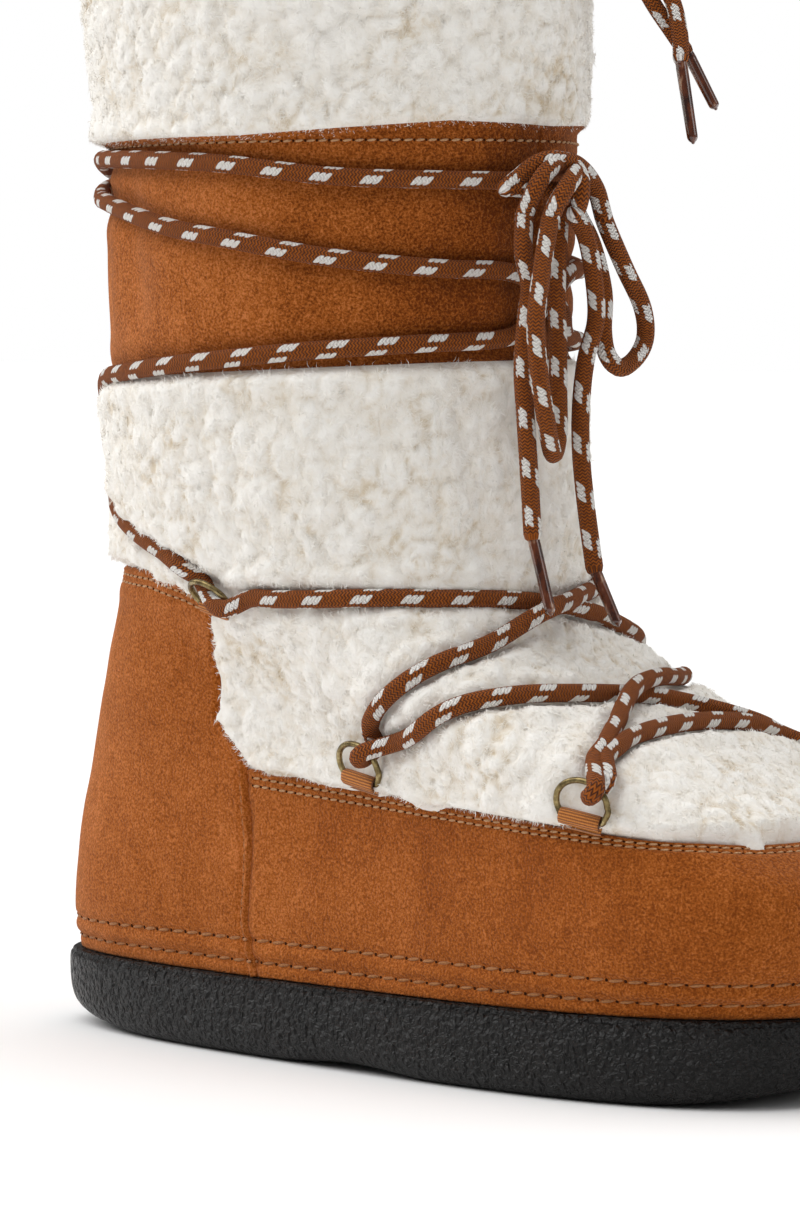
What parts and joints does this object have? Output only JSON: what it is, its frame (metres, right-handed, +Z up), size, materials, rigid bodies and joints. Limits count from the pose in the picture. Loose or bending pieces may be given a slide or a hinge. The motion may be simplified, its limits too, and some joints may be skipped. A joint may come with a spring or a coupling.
{
  "type": "suede boot",
  "caption": "Tall lace-up winter boot with a suede rand, heel counter and shaft band over a fur-covered padded upper, brass D rings, braided lace tied in a bow and a flat rubber sole.",
  "frame": {"origin": "on the floor, under the middle of the boot's box", "axes": "+X from heel to toe, +Y from the lateral to the medial side, +Z up"},
  "size_m": [0.2787, 0.136, 0.3484],
  "materials": {
    "sole_rubber": "black pebbled rubber, satin",
    "insole_felt": "cream felt",
    "fur": "cream curly fur",
    "suede": "tan suede with a short nap",
    "antique_brass": "antique brass",
    "tab_webbing": "ribbed tan webbing",
    "lace_cord": "brown braid with white flecks",
    "aglet_plastic": "brown glossy plastic"
  },
  "bodies": {
    "root": {"outsole": "sole_rubber", "insole": "insole_felt", "upper": "fur", "rand": "suede", "heel_counter": "suede", "d_ring_lat_1": "antique_brass", "d_ring_lat_2": "antique_brass", "d_ring_lat_3": "antique_brass", "d_ring_med_1": "antique_brass", "d_ring_med_2": "antique_brass", "d_ring_med_3": "antique_brass", "ring_tab_lat_1": "tab_webbing", "ring_tab_lat_2": "tab_webbing", "ring_tab_lat_3": "tab_webbing", "ring_tab_med_1": "tab_webbing", "ring_tab_med_2": "tab_webbing", "ring_tab_med_3": "tab_webbing", "lace": "lace_cord", "bow_knot": "lace_cord", "bow_loop_a": "lace_cord", "bow_loop_b": "lace_cord", "lace_end_a": "lace_cord", "lace_end_b": "lace_cord", "aglet_a": "aglet_plastic", "aglet_b": "aglet_plastic", "drawcord_knot": "lace_cord", "drawcord_end_a": "lace_cord", "drawcord_end_b": "lace_cord", "drawcord_aglet_a": "aglet_plastic", "drawcord_aglet_b": "aglet_plastic"}
  },
  "joints": []
}
